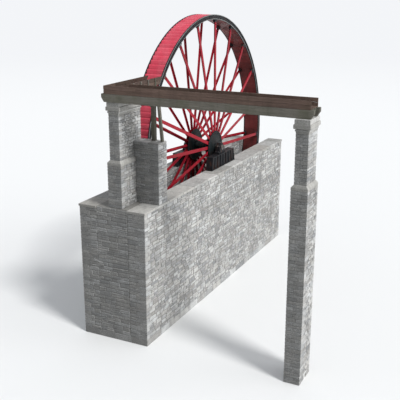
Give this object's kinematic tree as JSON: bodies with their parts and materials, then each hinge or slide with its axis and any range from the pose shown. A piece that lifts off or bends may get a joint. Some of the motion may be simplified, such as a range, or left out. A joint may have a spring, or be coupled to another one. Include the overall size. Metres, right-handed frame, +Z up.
{
  "type": "water wheel",
  "caption": "Large iron and timber water wheel on an axle in a stone wheel pit, fed through a chute by a timber launder carried on stone piers and a trestle.",
  "frame": {"origin": "on the underside of the pit floor, straight below the middle of the axle", "axes": "+X lies in the plane of the wheel and points away from the launder, +Y along the axle, away from the outer pier, +Z up"},
  "size_m": [18.94, 11.966, 15.9],
  "materials": {
    "black_iron": "black paint, weathered",
    "red_iron": "red paint, satin",
    "red_boards": "red paint on boards",
    "dark_red_boards": "dark red paint on boards",
    "brown_timber": "rough sawn and weathered",
    "grey_timber": "rough sawn, grey green",
    "rubble_stone": "rubble masonry, rough",
    "dressed_stone": "dressed stone, rough"
  },
  "bodies": {
    "structure": {"near_bearing_block": "black_iron", "near_bearing_cap": "black_iron", "far_bearing_block": "black_iron", "far_bearing_cap": "black_iron", "near_bearing_bed": "black_iron", "far_bearing_bed": "black_iron", "near_pit_wall": "rubble_stone", "far_pit_wall": "rubble_stone", "head_wall": "rubble_stone", "pit_floor": "rubble_stone", "near_coping": "dressed_stone", "far_coping": "dressed_stone", "launder_beams": "grey_timber", "launder_floor": "brown_timber", "launder_outer_side": "brown_timber", "launder_inner_side": "brown_timber", "launder_end_board": "brown_timber", "launder_bearers": "grey_timber", "chute_floor": "brown_timber", "chute_sides": "brown_timber", "chute_beams": "grey_timber", "trestle_posts": "grey_timber", "trestle_cap_beam": "grey_timber", "trestle_struts": "grey_timber", "trestle_braces": "grey_timber", "inner_pier_plinth": "rubble_stone", "inner_pier_shaft": "rubble_stone", "inner_pier_cap": "dressed_stone", "wing_wall": "rubble_stone", "outer_pier_plinth": "rubble_stone", "outer_pier_shaft": "rubble_stone", "outer_pier_cap": "dressed_stone"},
    "wheel": {"near_shroud": "black_iron", "far_shroud": "black_iron", "sole_boards": "dark_red_boards", "bucket_risers": "red_boards", "bucket_fronts": "red_boards", "near_arms": "red_iron", "far_arms": "red_iron", "near_arm_shoes": "black_iron", "far_arm_shoes": "black_iron", "near_hub": "black_iron", "far_hub": "black_iron", "axle": "black_iron"}
  },
  "joints": [
    {"name": "wheel_spin", "type": "hinge", "parent": "structure", "child": "wheel", "pos_m": [0, 0, 8.2], "axis": [0, -1, 0], "continuous": true}
  ]
}
